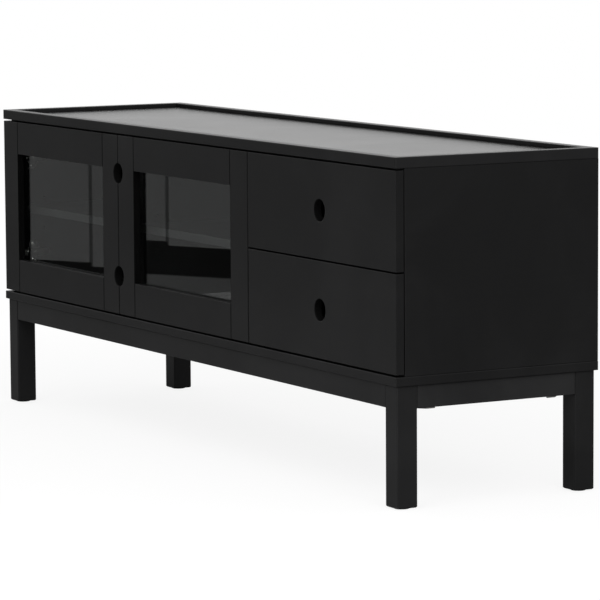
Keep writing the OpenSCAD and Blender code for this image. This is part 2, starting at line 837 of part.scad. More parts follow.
module drawer_front(k) color(paint) pulled() difference() {
  translate([drawer_x0, face_y, drawer_z[k]]) eased_board([drawer_w, front_t, drawer_h]);
  finger_hole(drawer_x0 + drawer_w / 2, drawer_z[k] + drawer_h / 2);
  bottom_board(k);
}

module drawer_sides(k) color(box_grey) pulled() difference() {
  for (x = [box_x0, box_x1 - box_t]) translate([x, front_back_y, box_z(k)]) cube([box_t, box_l, box_h]);
  bottom_board(k);
}

module drawer_back(k) color(box_grey) pulled()
  translate([box_x0 + box_t, front_back_y + box_l - box_t, box_z(k) + bottom_up + bottom_t])
    cube([box_w - 2 * box_t, box_t, box_h - bottom_up - bottom_t]);

module drawer_bottom(k) color(box_grey) pulled() bottom_board(k);

module upper_drawer_front() drawer_front(1);
module upper_drawer_sides() drawer_sides(1);
module upper_drawer_back() drawer_back(1);
module upper_drawer_bottom() drawer_bottom(1);
module lower_drawer_front() drawer_front(0);
module lower_drawer_sides() drawer_sides(0);
module lower_drawer_back() drawer_back(0);
module lower_drawer_bottom() drawer_bottom(0);

// Half height of each nested member
runner_half = runner_h / 2;
mid_half = runner_half - runner_steel - runner_play;
drawer_member_half = mid_half - runner_steel - runner_play;
runner_deep = runner_space - 0.3;

// Channel section: back at x = 0, flanges to x = w, half height half
module channel(w, half) {
  difference() {
    translate([0, -half]) square([w, 2 * half]);
    translate([runner_steel, -half + runner_steel]) square([w, 2 * (half - runner_steel)]);
  }
}

// Middle member: a web with flanges to both sides
module double_channel(x0, w, half) {
  translate([x0, -half]) difference() {
    square([w, 2 * half]);
    translate([-1, runner_steel]) square([w / 2 + 1 - runner_steel / 2, 2 * (half - runner_steel)]);
    translate([w / 2 + runner_steel / 2, runner_steel]) square([w / 2 + 1, 2 * (half - runner_steel)]);
  }
}

// Runs a section along Y at both sides of drawer k, mirrored on the right
module both_runners(k, l) {
  z = box_z(k) + runner_up;
  mid = (bay_x0 + side_in_x) / 2;
  for (s = [0, 1]) translate([mid, 0, 0]) mirror([s, 0, 0]) translate([bay_x0 - mid, runner_y0 + l, z])
    rotate([90, 0, 0]) linear_extrude(l) children();
}

module runner_cabinet_members() color(steel)
  for (k = [0, 1]) both_runners(k, runner_l) channel(runner_deep * 0.68, runner_half);

module runner_mid(k) color(steel) pulled(0.5)
  both_runners(k, runner_l - 12)
    double_channel(runner_steel + 0.8, runner_deep - 2 * (runner_steel + 0.8), mid_half);

module runner_drawer(k) color(steel) pulled()
  both_runners(k, runner_l - 6) translate([runner_space, 0]) mirror([1, 0]) channel(5.2, drawer_member_half);

module upper_runner_mid_members() runner_mid(1);
module lower_runner_mid_members() runner_mid(0);
module upper_runner_drawer_members() runner_drawer(1);
module lower_runner_drawer_members() runner_drawer(0);

top_panel();
top_rim_front();
top_rim_back();
top_rim_left();
top_rim_right();
side_left();
side_right();
partition();
divider();
base_slab();
top_rails();
back_panel_left();
back_panel_right();
shelves();
shelf_pins();
dowels();
bumpers();
leg_front_left();
leg_front_right();
leg_back_left();
leg_back_right();
apron_front();
apron_back_rail();
apron_left();
apron_right();
corner_braces();
brace_bolts();
leg_glides();
left_hinge_arms();
right_hinge_arms();
left_hinge_links();
right_hinge_links();
left_hinge_cups();
right_hinge_cups();
left_door_hinge_stile();
left_door_meeting_stile();
left_door_top_rail();
left_door_bottom_rail();
left_door_glass();
left_door_clips();
right_door_hinge_stile();
right_door_meeting_stile();
right_door_top_rail();
right_door_bottom_rail();
right_door_glass();
right_door_clips();
upper_drawer_front();
upper_drawer_sides();
upper_drawer_back();
upper_drawer_bottom();
lower_drawer_front();
lower_drawer_sides();
lower_drawer_back();
lower_drawer_bottom();
runner_cabinet_members();
upper_runner_mid_members();
lower_runner_mid_members();
upper_runner_drawer_members();
lower_runner_drawer_members();
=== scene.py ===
"""Looks of a low media cabinet: tray top, two glass doors and two drawers on a square-legged stand."""

import itertools
import math

import bmesh
import bpy
import numpy as np
from bpy.props import FloatProperty, FloatVectorProperty, PointerProperty
from mathutils import Matrix, Vector


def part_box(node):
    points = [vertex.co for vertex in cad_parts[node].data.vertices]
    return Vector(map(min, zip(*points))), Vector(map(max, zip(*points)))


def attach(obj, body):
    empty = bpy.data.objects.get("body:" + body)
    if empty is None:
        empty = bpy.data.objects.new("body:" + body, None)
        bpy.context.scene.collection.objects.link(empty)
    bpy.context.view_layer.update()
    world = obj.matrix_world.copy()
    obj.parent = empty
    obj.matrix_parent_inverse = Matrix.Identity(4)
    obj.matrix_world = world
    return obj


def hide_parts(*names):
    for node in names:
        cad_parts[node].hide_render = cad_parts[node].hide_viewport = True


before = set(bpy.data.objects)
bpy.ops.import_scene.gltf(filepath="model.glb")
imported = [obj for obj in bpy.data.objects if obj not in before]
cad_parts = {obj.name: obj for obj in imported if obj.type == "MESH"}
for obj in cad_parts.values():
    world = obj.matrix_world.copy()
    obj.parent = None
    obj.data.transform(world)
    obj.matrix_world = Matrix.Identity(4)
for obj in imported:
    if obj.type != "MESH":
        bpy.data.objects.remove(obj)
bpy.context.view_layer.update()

bl_info = {
    "name": "Media cabinet looks",
    "version": (1, 0, 0),
    "blender": (4, 5, 0),
    "location": "View3D > Sidebar > Cabinet",
    "description": "Finishes, small fixings and studio stage of a media cabinet",
    "category": "Object",
}

MM = 0.001
SIDES, LEVELS = ("left", "right"), ("lower", "upper")


# ----- settings -----


class CabinetFinish(bpy.types.PropertyGroup):
    """Colours and surface values of the finishes."""

    paint_colour: FloatVectorProperty(
        name="Paint colour", description="Black of the satin paint", subtype="COLOR",
        size=3, min=0.0, max=1.0, default=(0.0085, 0.0085, 0.0087))
    paint_roughness: FloatProperty(
        name="Paint roughness", description="Roughness of the satin paint", subtype="FACTOR",
        min=0.05, max=1.0, default=0.34)
    paint_gloss: FloatProperty(
        name="Paint gloss", description="Strength of the paint's mirror-like part", subtype="FACTOR",
        min=0.0, max=1.0, default=0.13)
    grain_depth: FloatProperty(
        name="Grain depth", description="How strongly the wood grain shows through the paint",
        subtype="FACTOR", min=0.0, max=1.0, default=0.18)
    # Painted highlight in part: the lighter line along the paint's edges, partly rubbed paint and partly a
    # painted highlight
    wear_and_highlight: FloatProperty(
        name="Edge wear", description="How much lighter the paint is along sharp edges", subtype="FACTOR",
        min=0.0, max=1.0, default=0.25)
    wear_and_highlight_width: FloatProperty(
        name="Wear width", description="Width of the worn line along an edge",
        subtype="DISTANCE", unit="LENGTH", min=0.0002, max=0.01, default=0.0012)
    joint_width: FloatProperty(
        name="Joint width", description="Width of the dark line between a door's rails and stiles",
        subtype="DISTANCE", unit="LENGTH", min=0.0, max=0.005, default=0.0036)
    # Painted light: the legs and aprons stand low by the bright floor, and their copy of the paint is
    # lighter for the light that comes up from it
    stand_lit_tone: FloatProperty(
        name="Stand lit tone", description="How much lighter the floor-lit stand is than the panels",
        min=0.5, max=3.0, default=1.30)
    # Painted light: short rails and aprons face the sides, and their copy of the paint is lighter for the
    # light that falls on them there
    short_lit_tone: FloatProperty(
        name="Short rail lit tone", description="How much lighter short rails and aprons are than long ones",
        min=0.5, max=3.0, default=1.45)
    inside_colour: FloatVectorProperty(
        name="Inside colour", description="Matt black inside the bays", subtype="COLOR",
        size=3, min=0.0, max=1.0, default=(0.008, 0.008, 0.008))
    strip_colour: FloatVectorProperty(
        name="Strip colour", description="Edge strip on the front of the shelves", subtype="COLOR",
        size=3, min=0.0, max=1.0, default=(0.030, 0.030, 0.030))
    drawer_colour: FloatVectorProperty(
        name="Drawer board colour", description="Dark grey foil on the drawer boxes", subtype="COLOR",
        size=3, min=0.0, max=1.0, default=(0.035, 0.035, 0.037))
    glass_colour: FloatVectorProperty(
        name="Glass colour", description="Tint of the door glass", subtype="COLOR",
        size=3, min=0.0, max=1.0, default=(0.90, 0.94, 0.93))
    steel_colour: FloatVectorProperty(
        name="Steel colour", description="Nickel plated steel of hinges and runners", subtype="COLOR",
        size=3, min=0.0, max=1.0, default=(0.62, 0.61, 0.59))
    plastic_colour: FloatVectorProperty(
        name="Plastic colour", description="Moulded clips, glides and bumpers", subtype="COLOR",
        size=3, min=0.0, max=1.0, default=(0.008, 0.008, 0.008))


class CabinetStage(bpy.types.PropertyGroup):
    """Camera, floor and light."""

    camera_place: FloatVectorProperty(
        name="Camera place", description="Where the camera stands", subtype="TRANSLATION", unit="LENGTH",
        size=3, default=(5.9727, -3.3162, 1.0610))
    camera_turn: FloatVectorProperty(
        name="Camera turn", description="Yaw, pitch and roll of the view", subtype="EULER", unit="ROTATION",
        size=3, default=(math.radians(60.596), math.radians(6.596), math.radians(-0.372)))
    lens: FloatProperty(
        name="Lens", description="Focal length in millimetres on a 36 mm sensor",
        min=20.0, max=400.0, default=217.65)
    floor_half: FloatProperty(
        name="Floor half width", description="Half the width of the floor",
        subtype="DISTANCE", unit="LENGTH", min=1.5, max=40.0, default=2.28)
    key_power: FloatProperty(
        name="Main lamp", description="Power of the large lamp over the front", unit="POWER",
        min=0.0, max=2000.0, default=44.0)
    fill_power: FloatProperty(
        name="Side lamp", description="Power of the large lamp at the right", unit="POWER",
        min=0.0, max=2000.0, default=44.0)
    low_power: FloatProperty(
        name="Low lamp", description="Power of the small low lamp at the drawers' end", unit="POWER",
        min=0.0, max=2000.0, default=4.0)
    room_light: FloatProperty(
        name="Room light", description="Brightness of the room as it lights the cabinet",
        min=0.0, max=2.0, default=0.75)
    room_grey: FloatProperty(
        name="Room grey", description="Brightness of the grey screens in front, as gloss sees them",
        min=0.0, max=1.0, default=0.17)
    far_floor: FloatProperty(
        name="Far floor", description="Brightness of the floor beyond the paper, as gloss sees it",
        min=0.0, max=1.0, default=0.13)


# ----- shader building -----


# A Mix node's sockets, for numbers and for colours: factor and two values, and result
MIX_SOCKETS = {"FLOAT": ((0, 2, 3), 0), "RGBA": ((0, 6, 7), 2)}
# Group sockets that carry a vector; others carry a number
VECTOR_SOCKETS = ("Vector", "Along grain", "Normal")


def node(tree, kind, **values):
    """Adds a shader node. A value named as an input socket sets it or links to it; others are settings."""
    made = tree.nodes.new(kind)
    for name, value in values.items():
        if name in made.inputs:
            plug(tree, made.inputs[name], value)
        else:
            setattr(made, name, value)
    return made


def plug(tree, socket, value):
    """Links an output to a socket, or sets the socket's own value."""
    if isinstance(value, bpy.types.NodeSocket):
        tree.links.new(value, socket)
    else:
        socket.default_value = value


def calc(tree, operation, *values, clamp=False):
    """Math node on up to three values or outputs."""
    made = node(tree, "ShaderNodeMath", operation=operation, use_clamp=clamp)
    for socket, value in zip(made.inputs, values):
        plug(tree, socket, value)
    return made.outputs[0]


def times(tree, first, second):
    """Product of two numbers."""
    return calc(tree, "MULTIPLY", first, second)


def gap(tree, first, second):
    """How far two numbers lie apart."""
    return calc(tree, "ABSOLUTE", calc(tree, "SUBTRACT", first, second))


def split(tree, vector):
    """X, Y and Z of a vector."""
    return node(tree, "ShaderNodeSeparateXYZ", Vector=vector).outputs


def dot(tree, first, second):
    """Dot product of two vectors."""
    made = node(tree, "ShaderNodeVectorMath", operation="DOT_PRODUCT")
    for socket, value in zip(made.inputs, (first, second)):
        plug(tree, socket, value)
    return made.outputs["Value"]


def mix(tree, factor, first, second, kind="RGBA"):
    """Mix node on two colours or, by kind, two numbers: the first at factor 0, the second at 1."""
    made = node(tree, "ShaderNodeMix", data_type=kind)
    places, result = MIX_SOCKETS[kind]
    for place, value in zip(places, (factor, first, second)):
        plug(tree, made.inputs[place], value)
    return made.outputs[result]


def remap(tree, value, low, high, new_low=0.0, new_high=1.0):
    """Map Range node with a smooth step between two values."""
    made = node(tree, "ShaderNodeMapRange", interpolation_type="SMOOTHSTEP")
    titles = ("Value", "From Min", "From Max", "To Min", "To Max")
    for title, entry in zip(titles, (value, low, high, new_low, new_high)):
        plug(tree, made.inputs[title], entry)
    return made.outputs[0]


def noise(tree, vector, scale, detail, **values):
    """Noise texture's plain value."""
    made = node(tree, "ShaderNodeTexNoise", Vector=vector, Scale=scale, Detail=detail, **values)
    return made.outputs["Fac"]


def vary(tree, value, middle, spread):
    """Number that swings about a middle, by a spread in all, with a value between 0 and 1."""
    return calc(tree, "MULTIPLY_ADD", value, spread, middle - spread / 2)


def new_group(name, inputs, outputs):
    """Starts a shader node group with titled sockets; returns it with what comes in and what goes out."""
    tree = bpy.data.node_groups.new(name, "ShaderNodeTree")
    for way, titles in (("INPUT", inputs), ("OUTPUT", outputs)):
        for title in titles:
            kind = "NodeSocketVector" if title in VECTOR_SOCKETS else "NodeSocketFloat"
            tree.interface.new_socket(name=title, in_out=way, socket_type=kind)
    return tree, tree.nodes.new("NodeGroupInput").outputs, tree.nodes.new("NodeGroupOutput").inputs


def group_edge_wear_and_highlight():
    """Mask that is 1 on rounded-over edges and 0 on flats: how far the bevelled normal leans from the true
    one, broken up by noise. On the paint it lightens edges as rubbed paint and as a painted highlight."""
    tree, given, out = new_group("Edge wear", ("Width", "Vector"), ("Mask", "Normal"))
    rounded = node(tree, "ShaderNodeBevel", samples=4, Radius=given["Width"]).outputs[0]
    true = node(tree, "ShaderNodeNewGeometry").outputs["Normal"]
    edge = remap(tree, dot(tree, rounded, true), 0.995, 0.86)
    broken = remap(tree, noise(tree, given["Vector"], 40.0, 4.0), 0.38, 0.62, 0.25, 1.0)
    plug(tree, out["Mask"], times(tree, edge, broken))
    plug(tree, out["Normal"], rounded)
    return tree


def group_paint_film():
    """Film of sprayed paint over wood: fine ripple, long grain lines, slow patches of gloss and a haze."""
    tree, given, out = new_group("Paint film", ("Vector", "Along grain", "Grain"),
                                 ("Height", "Gloss change", "Shade", "Haze"))
    ripple = noise(tree, given["Vector"], 420.0, 2.0, Roughness=0.5)
    grain = noise(tree, given["Along grain"], 1.0, 6.0, Roughness=0.62)
    patches = noise(tree, given["Vector"], 5.0, 3.0, Roughness=0.5)
    cloud = noise(tree, given["Vector"], 3.2, 5.0, Roughness=0.62, Distortion=0.6)
    lines = times(tree, remap(tree, grain, 0.42, 0.66), given["Grain"])
    plug(tree, out["Height"], calc(tree, "ADD", times(tree, ripple, 0.35), lines))
    plug(tree, out["Gloss change"], calc(tree, "SUBTRACT", patches, 0.5))
    plug(tree, out["Shade"], lines)
    plug(tree, out["Haze"], remap(tree, cloud, 0.36, 0.70))
    return tree


def group_crevice_shade():
    """Mask of painted shade that is 1 in joints and corners and 0 on open faces, from how much nearby
    matter hides.
    """
    tree, given, out = new_group("Crevice", ("Distance",), ("Mask",))
    open_sky = node(tree, "ShaderNodeAmbientOcclusion", samples=8, Distance=given["Distance"]).outputs["AO"]
    plug(tree, out["Mask"], remap(tree, open_sky, 0.95, 0.45))
    return tree


def group_joint_lines():
    """Mask of the thin dark lines where a rail meets a stile: 1 within half the width of either X place."""
    tree, given, out = new_group("Joint lines", ("Vector", "First", "Second", "Width"), ("Mask",))
    x = split(tree, given["Vector"])["X"]
    near = calc(tree, "MINIMUM", *(gap(tree, x, given[title]) for title in ("First", "Second")))
    half = times(tree, given["Width"], 0.5)
    away = remap(tree, near, times(tree, half, 0.6), half)
    plug(tree, out["Mask"], calc(tree, "SUBTRACT", 1.0, away))
    return tree


def group_finger_hole_shade():
    """Mask of painted shade on the walls of two round holes through a front, one over the other."""
    tree, given, out = new_group("Finger holes", ("Vector", "X", "Lower", "Upper"), ("Mask",))
    place = split(tree, given["Vector"])
    up = calc(tree, "MINIMUM", *(gap(tree, place["Z"], given[title]) for title in ("Lower", "Upper")))
    across = gap(tree, place["X"], given["X"])
    away = calc(tree, "SQRT", calc(tree, "MULTIPLY_ADD", up, up, times(tree, across, across)))
    plug(tree, out["Mask"], remap(tree, away, FINGER_RADIUS + 0.6 * MM, FINGER_RADIUS + 0.1 * MM))
    return tree


def group_dust():
    """Mask of fine dust that lies on faces that look up."""
    tree, given, out = new_group("Dust", ("Vector", "Amount"), ("Mask",))
    normal = node(tree, "ShaderNodeNewGeometry").outputs["Normal"]
    up = remap(tree, split(tree, normal)["Z"], 0.75, 0.98)
    specks = remap(tree, noise(tree, given["Vector"], 900.0, 3.0, Roughness=0.7), 0.5, 0.72)
    drifts = remap(tree, noise(tree, given["Vector"], 7.0, 4.0), 0.35, 0.7, 0.3, 1.0)
    mask = times(tree, times(tree, specks, drifts), up)
    plug(tree, out["Mask"], calc(tree, "MULTIPLY", mask, given["Amount"], clamp=True))
    return tree


GROUPS = {}
GROUP_MAKERS = {"edge_wear_and_highlight": group_edge_wear_and_highlight, "paint_film": group_paint_film, "crevice_shade": group_crevice_shade,
                "joint_lines": group_joint_lines, "finger_hole_shade": group_finger_hole_shade, "dust": group_dust}


def use_group(tree, name, **values):
    """Places a shared group in a material, building it the first time; returns its outputs."""
    if name not in GROUPS:
        GROUPS[name] = GROUP_MAKERS[name]()
    made = tree.nodes.new("ShaderNodeGroup")
    made.node_tree = GROUPS[name]
    for title, value in values.items():
        plug(tree, made.inputs[title.replace("_", " ")], value)
    return made.outputs


# ----- finishes -----


def stretched_along(long, fine):
    """Scales of a texture that is drawn out along one axis, by the axis."""
    return {"x": (long, fine, fine), "y": (fine, long, fine), "z": (fine, fine, long)}


GRAIN_SCALES = stretched_along(2.2, 95.0)
DRAWN_SCALES = stretched_along(12.0, 900.0)
DOWEL_SCALES = stretched_along(30.0, 600.0)["z"]

# Finger holes: their radius, and how far those of the doors lie from a door's ends
FINGER_RADIUS = 19.5 * MM
FINGER_END = 73.5 * MM

# Paint, as shares of its colour: both ends of the haze, grain lines, painted shade in joints and corners,
# painted shade on the walls of finger holes; edges are lighter by a share and an amount, as rubbed paint
# and painted highlight
HAZE_LOW, HAZE_HIGH, GRAIN_SHARE, CREVICE_SHADE_SHARE, HOLE_SHADE_SHARE = 0.88, 1.28, 0.72, 0.3, 0.15
WORN_HIGHLIT_SHARE, WORN_HIGHLIT_LIFT = 3.2, 0.006
CREVICE_REACH = 4.0 * MM
JOINT_COLOUR = (0.0004, 0.0004, 0.0004)
DUST_COLOUR = (0.30, 0.29, 0.28)

BEECH_DARK, BEECH_PALE, BEECH_FLECK = (0.42, 0.27, 0.15), (0.62, 0.44, 0.27), (0.25, 0.14, 0.07)
HARDBOARD_COLOUR = (0.020, 0.019, 0.018)


def toned(colour, share, lift=0.0):
    """Colour made darker or lighter by a share and an amount."""
    return tuple(min(1.0, c * share + lift) for c in colour)


def opaque(colour, share=1.0):
    """Share of a colour, with full alpha."""
    return (*toned(colour, share), 1.0)


def new_material(name):
    """Material with a Principled shader alone; returns it, its tree, the shader and object coordinates."""
    material = bpy.data.materials.new(name)
    material.use_nodes = True
    tree = material.node_tree
    tree.nodes.clear()
    shader = tree.nodes.new("ShaderNodeBsdfPrincipled")
    output = tree.nodes.new("ShaderNodeOutputMaterial")
    tree.links.new(shader.outputs[0], output.inputs[0])
    coords = tree.nodes.new("ShaderNodeTexCoord").outputs["Object"]
    return material, tree, shader, coords


def dress(tree, shader, base, rough, height, strength, depth, normal=None):
    """Gives the shader its colour, its roughness and a bump, on an edge normal if any."""
    bump = node(tree, "ShaderNodeBump", Strength=strength, Distance=depth, Height=height)
    if normal is not None:
        plug(tree, bump.inputs["Normal"], normal)
    for title, value in (("Base Color", base), ("Roughness", rough), ("Normal", bump.outputs[0])):
        plug(tree, shader.inputs[title], value)


def paint_material(name, finish, along, colour, roughness, dust=0.0, joints=(), holes=(), patchy=0.16,
                   gloss=1.0):
    """Sprayed paint on wood with its grain along one axis. joints: X of two dark joint lines. holes: X and
    both heights of a pair of finger holes, whose walls get painted shade."""
    material, tree, shader, coords = new_material(name)
    along_grain = node(tree, "ShaderNodeMapping", Vector=coords, Scale=GRAIN_SCALES[along]).outputs[0]
    film = use_group(tree, "paint_film", Vector=coords, Along_grain=along_grain, Grain=finish.grain_depth)
    wear_and_highlight = use_group(tree, "edge_wear_and_highlight", Width=finish.wear_and_highlight_width, Vector=coords)
    # Painted shade: joints and corners darker and duller, by how much nearby matter hides them
    crevice_shade_mask = use_group(tree, "crevice_shade", Distance=CREVICE_REACH)["Mask"]
    dirt = use_group(tree, "dust", Vector=coords, Amount=dust)["Mask"]
    # Lighter edges, partly rubbed paint and partly a painted highlight, kept out of joints and corners
    worn_and_highlit = times(tree, times(tree, wear_and_highlight["Mask"], finish.wear_and_highlight), calc(tree, "SUBTRACT", 1.0, crevice_shade_mask))
    base = mix(tree, film["Haze"], opaque(colour, HAZE_LOW), opaque(colour, HAZE_HIGH))
    base = mix(tree, times(tree, film["Shade"], 0.6), base, opaque(colour, GRAIN_SHARE))
    base = mix(tree, worn_and_highlit, base, opaque(toned(colour, WORN_HIGHLIT_SHARE, WORN_HIGHLIT_LIFT)))
    # Painted shade in joints and corners
    base = mix(tree, times(tree, crevice_shade_mask, 0.85), base, opaque(colour, CREVICE_SHADE_SHARE))
    rough = calc(tree, "MULTIPLY_ADD", film["Gloss change"], patchy, roughness)
    if joints:
        first, second = joints
        lines = use_group(tree, "joint_lines", Vector=coords, First=first, Second=second,
                          Width=finish.joint_width)["Mask"]
        base = mix(tree, lines, base, opaque(JOINT_COLOUR))
        rough = calc(tree, "MULTIPLY_ADD", lines, 0.6, rough)
    if holes:
        x, lower, upper = holes
        # Painted shade on the walls of the finger holes, darker and duller
        hole_shade_mask = use_group(tree, "finger_hole_shade", Vector=coords, X=x, Lower=lower, Upper=upper)["Mask"]
        base = mix(tree, hole_shade_mask, base, opaque(colour, HOLE_SHADE_SHARE))
        rough = calc(tree, "MULTIPLY_ADD", hole_shade_mask, 0.5, rough)
    base = mix(tree, dirt, base, opaque(DUST_COLOUR))
    rough = calc(tree, "MULTIPLY_ADD", dirt, 0.4, rough)
    rough = calc(tree, "MULTIPLY_ADD", crevice_shade_mask, 0.5, rough, clamp=True)
    dress(tree, shader, base, rough, film["Height"], 0.10, 0.4 * MM, wear_and_highlight["Normal"])
    shader.inputs["Specular IOR Level"].default_value = finish.paint_gloss * gloss
    return material


def board_material(name, colour, roughness, fibre=0.0, front=None):
    """Foil or board face: fine mottling, slow patches of gloss and slightly bare edges. front: colour of an
    edge strip on the faces that look forwards."""
    material, tree, shader, coords = new_material(name)
    mottle = noise(tree, coords, 260.0, 4.0)
    wear_and_highlight = use_group(tree, "edge_wear_and_highlight", Width=0.8 * MM, Vector=coords)
    base = mix(tree, remap(tree, mottle, 0.3, 0.7), opaque(colour, 0.82), opaque(colour, 1.22))
    if front:
        true = node(tree, "ShaderNodeNewGeometry").outputs["True Normal"]
        base = mix(tree, remap(tree, split(tree, true)["Y"], -0.8, -0.95), base, opaque(front))
    bare = opaque(toned(colour, 1.5, 0.02 + fibre))
    base = mix(tree, times(tree, wear_and_highlight["Mask"], 0.5), base, bare)
    rough = vary(tree, noise(tree, coords, 6.0, 3.0), roughness, 0.16)
    dress(tree, shader, base, rough, mottle, 0.12, 0.3 * MM, wear_and_highlight["Normal"])
    return material


def wood_material(name):
    """Pale beech of the dowels: streaks along the dowel with short dark flecks."""
    material, tree, shader, coords = new_material(name)
    long_grain = node(tree, "ShaderNodeMapping", Vector=coords, Scale=DOWEL_SCALES).outputs[0]
    streaks = noise(tree, long_grain, 1.0, 5.0)
    flecks = node(tree, "ShaderNodeTexVoronoi", Vector=long_grain, Scale=1.6).outputs["Distance"]
    base = mix(tree, remap(tree, streaks, 0.3, 0.7), opaque(BEECH_DARK), opaque(BEECH_PALE))
    base = mix(tree, remap(tree, flecks, 0.18, 0.05, 0.0, 0.6), base, opaque(BEECH_FLECK))
    dress(tree, shader, base, 0.7, streaks, 0.2, 0.3 * MM)
    return material


def steel_material(name, colour, roughness, along):
    """Plated pressed steel: drawn lines along the strip, small stains and brighter edges."""
    material, tree, shader, coords = new_material(name)
    drawn = node(tree, "ShaderNodeMapping", Vector=coords, Scale=DRAWN_SCALES[along]).outputs[0]
    lines = noise(tree, drawn, 1.0, 3.0)
    stains = noise(tree, coords, 38.0, 5.0)
    wear_and_highlight = use_group(tree, "edge_wear_and_highlight", Width=0.4 * MM, Vector=coords)
    base = mix(tree, remap(tree, stains, 0.35, 0.7), opaque(colour), opaque(colour, 0.78))
    base = mix(tree, times(tree, wear_and_highlight["Mask"], 0.5), base, opaque(colour, 1.3))
    rough = calc(tree, "MULTIPLY_ADD", lines, 0.08, vary(tree, stains, roughness, 0.16))
    dress(tree, shader, base, rough, lines, 0.08, 0.2 * MM, wear_and_highlight["Normal"])
    shader.inputs["Metallic"].default_value = 1.0
    return material


def plastic_material(name, colour, roughness):
    """Moulded plastic with a fine spark-eroded texture."""
    material, tree, shader, coords = new_material(name)
    spark = noise(tree, coords, 1500.0, 2.0)
    smudge = noise(tree, coords, 30.0, 3.0)
    base = mix(tree, remap(tree, smudge, 0.3, 0.7), opaque(colour), opaque(colour, 1.3))
    dress(tree, shader, base, vary(tree, smudge, roughness, 0.14), spark, 0.25, 0.15 * MM)
    return material


def glass_material(name, colour):
    """Clear float glass with faint wipe marks in its roughness and a very slight waviness."""
    material, tree, shader, coords = new_material(name)
    wipes = noise(tree, coords, 9.0, 4.0, Distortion=1.5)
    waves = noise(tree, coords, 3.0, 0.0)
    tint = mix(tree, remap(tree, wipes, 0.4, 0.8, 0.0, 0.3), opaque(colour), opaque(colour, 0.97))
    dress(tree, shader, tint, remap(tree, wipes, 0.45, 0.75, 0.0, 0.01), waves, 0.005, MM)
    shader.inputs["Transmission Weight"].default_value = 1.0
    shader.inputs["IOR"].default_value = 1.52
    return material


def cover(names, material):
    """Gives CAD nodes one material."""
    for name in names:
        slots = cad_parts[name].data.materials
        slots.clear()
        slots.append(material)


# ----- small shapes -----


def surface(name, grids, closed=True):
    """Mesh of a stack of forms, shape (copies, rows, columns, 3): one quad between each four neighbours,
    joined round along the columns when closed; points in the same place, as at a pole, become one."""
    copies, rows, columns = grids.shape[:3]
    steps = columns if closed else columns - 1
    row, column = np.meshgrid(np.arange(rows - 1), np.arange(steps), indexing="ij")
    beside = (column + 1) % columns
    quads = np.stack([row * columns + column, row * columns + beside,
                      (row + 1) * columns + beside, (row + 1) * columns + column], -1).reshape(-1, 4)
    quads = (quads[None] + (np.arange(copies) * rows * columns)[:, None, None]).reshape(-1, 4)
    mesh = bpy.data.meshes.new(name)
    mesh.from_pydata(grids.reshape(-1, 3).tolist(), [], quads.tolist())
    joined = bmesh.new()
    joined.from_mesh(mesh)
    bmesh.ops.remove_doubles(joined, verts=joined.verts, dist=1e-6)
    joined.to_mesh(mesh)
    joined.free()
    made = bpy.data.objects.new(name, mesh)
    bpy.context.scene.collection.objects.link(made)
    return made


def turned(heights, radii, columns):
    """Form turned round Z: row i lies at heights[i] and radii[i], which may differ by column."""
    angle = np.linspace(0.0, 2.0 * math.pi, columns, endpoint=False)
    radius, height = (np.broadcast_to(np.reshape(part, (len(heights), -1)), (len(heights), columns))
                      for part in (radii, heights))
    return np.stack([radius * np.cos(angle), radius * np.sin(angle), height], -1)


def set_at(grid, places):
    """Copies of a form, one for each (origin, axis, spin): Z turns to the axis, after the spin round Z."""
    copies = []
    for origin, axis, spin in places:
        turn = Vector(axis).to_track_quat("Z", "Y").to_matrix() @ Matrix.Rotation(spin, 3, "Z")
        copies.append(grid @ np.array(turn).T + np.array(origin))
    return np.stack(copies)


def screw_head(radius, height, depth):
    """Raised screw head with a cross recess, its seat at z = 0. Dome: z = height (1 - 0.35 (r / R)^2). The
    recess, with sloping walls, goes down by depth where |u| < w and |v| < l, or the other way round."""
    rings = np.concatenate([[0.0, radius, radius], np.linspace(radius * 0.94, 0.0, 18)])
    heights = height * (1.0 - 0.35 * (rings / radius) ** 2)
    heights[:3] = 0.0, 0.0, height * 0.42
    grid = turned(heights, rings, 40)
    wide, long = radius * 0.16, radius * 0.62
    u, v = np.abs(grid[3:, :, 0]), np.abs(grid[3:, :, 1])
    arms = [np.clip((wide - p) / (0.5 * wide), 0.0, 1.0) * np.clip((long - q) / (0.3 * long), 0.0, 1.0)
            for p, q in ((u, v), (v, u))]
    grid[3:, :, 2] -= depth * np.maximum(*arms)
    return grid


def thread(radius, start, end, pitch, depth):
    """Thread along Z: r = R - depth |2 frac(z / pitch - angle / 2 pi) - 1|, narrower over its last turn."""
    rows, columns = int((end - start) / pitch * 10) + 1, 24
    heights = np.linspace(start, end, rows)
    part = np.linspace(0.0, 1.0, columns, endpoint=False)
    wave = np.abs(2.0 * np.mod(heights[:, None] / pitch - part, 1.0) - 1.0)
    tip = np.clip((end - heights) / pitch, 0.0, 1.0)[:, None]
    radii = radius - depth * wave - 1.2 * depth * (1.0 - tip)
    middle = np.zeros((1, columns))
    radii = np.concatenate([middle, radii, middle])
    return turned(np.concatenate([[start], heights, [end]]), radii, columns)


def hexagon_nut(radius, length, bore):
    """Hexagon nut round Z: r = a / cos(angle from a side's middle), cut by a 30 degree cone at each end."""
    columns = 72
    angle = np.linspace(0.0, 2.0 * math.pi, columns, endpoint=False)
    flat = radius * math.cos(math.pi / 6)
    sides = flat / np.cos(np.mod(angle, math.pi / 3) - math.pi / 6)
    heights = length * np.array([0.1, 0.0, 0.0, 0.03, 0.06, 0.09, 0.13, 0.5,
                                 0.87, 0.91, 0.94, 0.97, 1.0, 1.0, 0.9, 0.1])
    ends = np.minimum(heights, length - heights)[:, None]
    radii = np.minimum(sides, flat * 0.985 + ends * 1.73)
    for rows, hole in (((0, 14, 15), bore), ((1, 13), bore * 1.12)):
        radii[list(rows)] = hole
    return turned(heights, radii, columns)


